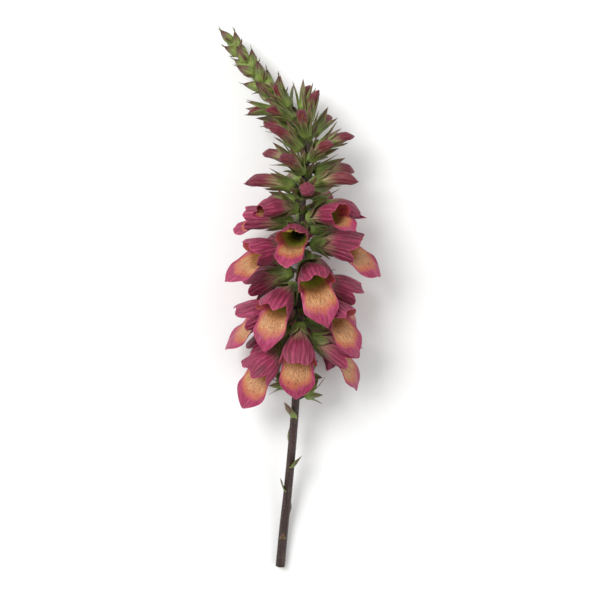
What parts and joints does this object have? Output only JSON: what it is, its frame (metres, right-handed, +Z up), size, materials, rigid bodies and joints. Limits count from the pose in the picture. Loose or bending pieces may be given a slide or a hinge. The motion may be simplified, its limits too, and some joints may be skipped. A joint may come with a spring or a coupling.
{
  "type": "foxglove flower spike",
  "caption": "Cut foxglove spike lying on its side: a leafy stem with hanging two-lipped bells, narrow opening flowers above them and a bent head of green buds.",
  "frame": {"origin": "middle of the footprint of the whole spike, on the surface it lies on", "axes": "+Y from the cut end of the stem to the tip of the bud head, +X to the right seen from above, +Z up from the surface"},
  "size_m": [0.1064, 0.359, 0.0803],
  "materials": {
    "stem": "matt, finely hairy, green calyces on a dark ribbed stem",
    "bud_head": "matt green with purple-brown tips",
    "petal": "soft satin, rose outside, apricot inside the lower lip"
  },
  "bodies": {
    "root": {"stem": "stem", "bud_head": "bud_head", "corolla_01": "petal", "corolla_02": "petal", "corolla_03": "petal", "corolla_04": "petal", "corolla_05": "petal", "corolla_06": "petal", "corolla_07": "petal", "corolla_08": "petal", "corolla_09": "petal", "corolla_10": "petal", "corolla_11": "petal", "corolla_12": "petal", "corolla_13": "petal", "corolla_14": "petal", "corolla_15": "petal", "corolla_16": "petal", "corolla_17": "petal", "corolla_18": "petal", "corolla_19": "petal", "corolla_20": "petal", "corolla_21": "petal", "corolla_22": "petal", "corolla_23": "petal", "corolla_24": "petal", "corolla_25": "petal", "corolla_26": "petal", "corolla_27": "petal", "corolla_28": "petal", "corolla_29": "petal", "corolla_30": "petal", "corolla_31": "petal", "corolla_32": "petal", "corolla_33": "petal", "corolla_34": "petal", "corolla_35": "petal", "corolla_36": "petal", "corolla_37": "petal", "corolla_38": "petal", "corolla_39": "petal", "corolla_40": "petal", "corolla_41": "petal", "corolla_42": "petal", "corolla_43": "petal", "corolla_44": "petal", "corolla_45": "petal", "corolla_46": "petal", "corolla_47": "petal", "corolla_48": "petal"}
  },
  "joints": []
}
